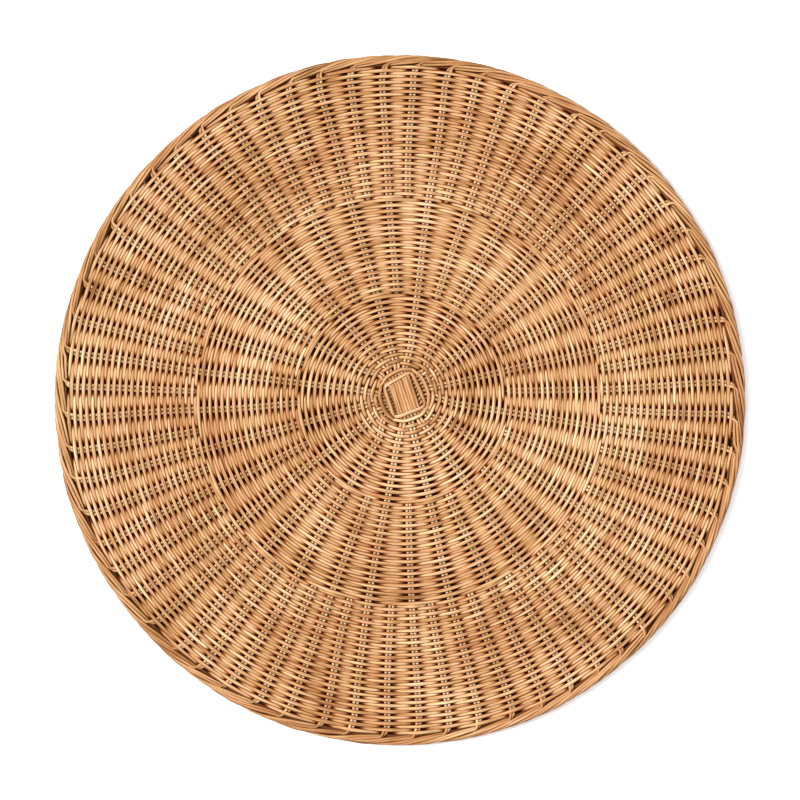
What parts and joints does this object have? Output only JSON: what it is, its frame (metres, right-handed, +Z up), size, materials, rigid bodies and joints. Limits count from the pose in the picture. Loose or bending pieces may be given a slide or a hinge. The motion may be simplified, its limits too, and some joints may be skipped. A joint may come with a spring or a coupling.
{
  "type": "woven rattan seat pad",
  "caption": "Flat round seat pad woven from natural rattan reed, with a crossed centre, joined-in stakes and a rolled border.",
  "frame": {"origin": "middle of the mat at the level of its resting face", "axes": "+Z up through the mat from its resting face to the side that is sat on; the shorter visible reeds of the crossed centre run about along X and the upright ones about along Y, turned 15 degrees counter-clockwise"},
  "size_m": [0.4, 0.4, 0.0058],
  "materials": {
    "stake_reed": "natural core rattan, unvarnished, satin",
    "hairpin_reed": "natural core rattan, unvarnished, satin",
    "border_reed": "natural core rattan, bent and rubbed, satin",
    "binding_reed": "natural core rattan, unvarnished, satin",
    "weaver_reed": "natural core rattan, unvarnished, satin"
  },
  "bodies": {
    "root": {"upright_stake_1": "stake_reed", "upright_stake_2": "stake_reed", "upright_stake_3": "stake_reed", "upright_stake_4": "stake_reed", "upright_stake_5": "stake_reed", "upright_stake_6": "stake_reed", "upright_stake_7": "stake_reed", "upright_stake_8": "stake_reed", "level_stake_1": "stake_reed", "level_stake_2": "stake_reed", "level_stake_3": "stake_reed", "level_stake_4": "stake_reed", "level_stake_5": "stake_reed", "level_stake_6": "stake_reed", "level_stake_7": "stake_reed", "level_stake_8": "stake_reed", "middle_hairpin_01": "hairpin_reed", "middle_hairpin_02": "hairpin_reed", "middle_hairpin_03": "hairpin_reed", "middle_hairpin_04": "hairpin_reed", "middle_hairpin_05": "hairpin_reed", "middle_hairpin_06": "hairpin_reed", "middle_hairpin_07": "hairpin_reed", "middle_hairpin_08": "hairpin_reed", "middle_hairpin_09": "hairpin_reed", "middle_hairpin_10": "hairpin_reed", "middle_hairpin_11": "hairpin_reed", "middle_hairpin_12": "hairpin_reed", "middle_hairpin_13": "hairpin_reed", "middle_hairpin_14": "hairpin_reed", "middle_hairpin_15": "hairpin_reed", "middle_hairpin_16": "hairpin_reed", "border_section_1": "border_reed", "border_section_2": "border_reed", "border_section_3": "border_reed", "border_section_4": "border_reed", "border_section_5": "border_reed", "border_section_6": "border_reed", "border_section_7": "border_reed", "border_section_8": "border_reed", "binding_round_1": "binding_reed", "binding_round_2": "binding_reed", "binding_round_3": "binding_reed", "binding_round_4": "binding_reed", "inner_weave_1": "weaver_reed", "inner_weave_2": "weaver_reed", "inner_weave_3": "weaver_reed", "middle_weave_1": "weaver_reed", "middle_weave_2": "weaver_reed", "middle_weave_3": "weaver_reed", "middle_weave_4": "weaver_reed", "outer_weave_1": "weaver_reed", "outer_weave_2": "weaver_reed", "outer_weave_3": "weaver_reed", "outer_weave_4": "weaver_reed", "outer_weave_5": "weaver_reed"}
  },
  "joints": []
}
